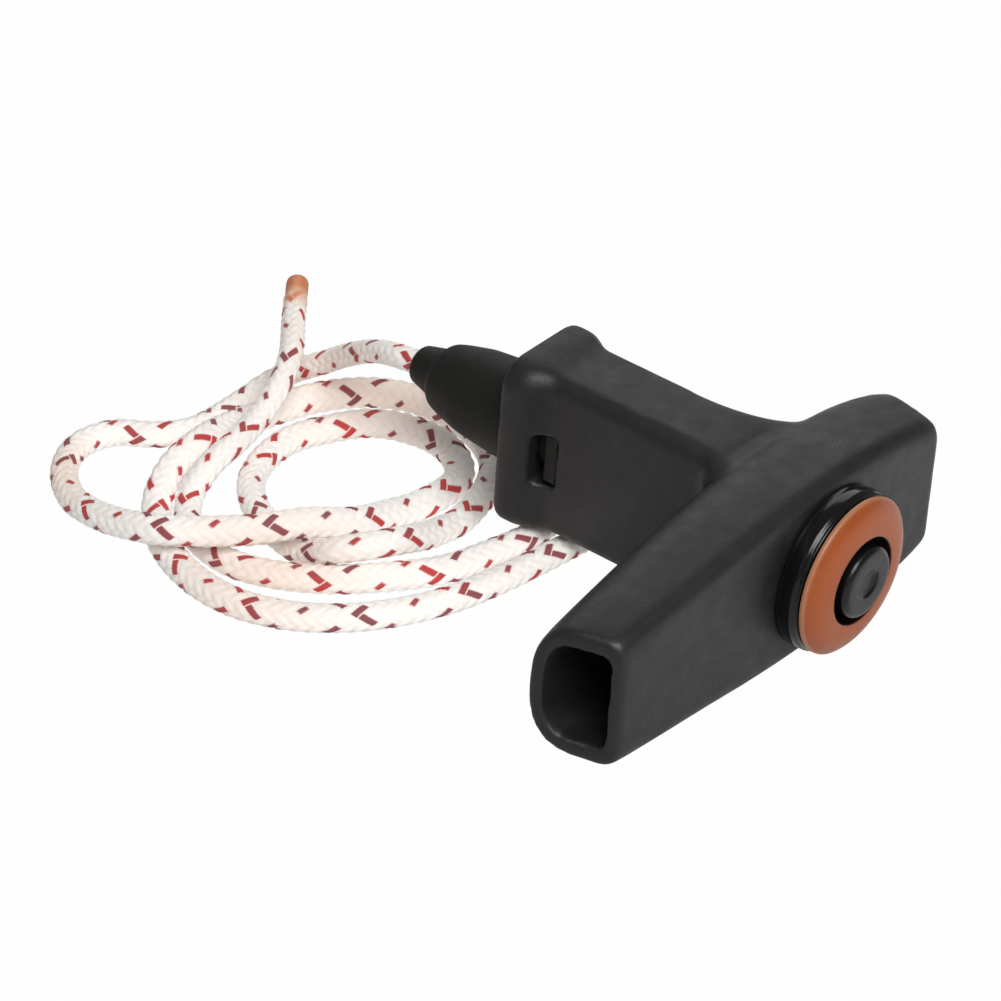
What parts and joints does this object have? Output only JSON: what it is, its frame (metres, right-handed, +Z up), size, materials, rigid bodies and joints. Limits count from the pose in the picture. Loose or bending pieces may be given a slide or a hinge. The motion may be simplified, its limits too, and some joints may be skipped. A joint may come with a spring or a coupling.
{
  "type": "starter rope",
  "caption": "Pull-start handle with a hollow T grip, rubbery rope guide, round end ring and stopper, and a loose braided rope with a sealed end.",
  "frame": {"origin": "floor point under the middle of the handle's bounding box, as the handle rests", "axes": "+Z up; +Y along the pull axis in plan, from the end ring towards the nose and the rope; +X along the crossbar, from its long wing to its short wing"},
  "size_m": [0.094, 0.148, 0.0371],
  "materials": {
    "grip_plastic": "matte",
    "guide_rubber": "matte",
    "seat_plastic": "gloss",
    "ring_plastic": "satin",
    "stopper_plastic": "gloss",
    "rope_yarn": "matte",
    "sealed_yarn": "satin"
  },
  "bodies": {
    "root": {"grip_body": "grip_plastic", "nose_guide": "guide_rubber", "seat_ring": "seat_plastic", "end_ring": "ring_plastic", "rope_stopper": "stopper_plastic", "rope": "rope_yarn", "sealed_rope_tip": "sealed_yarn"}
  },
  "joints": []
}
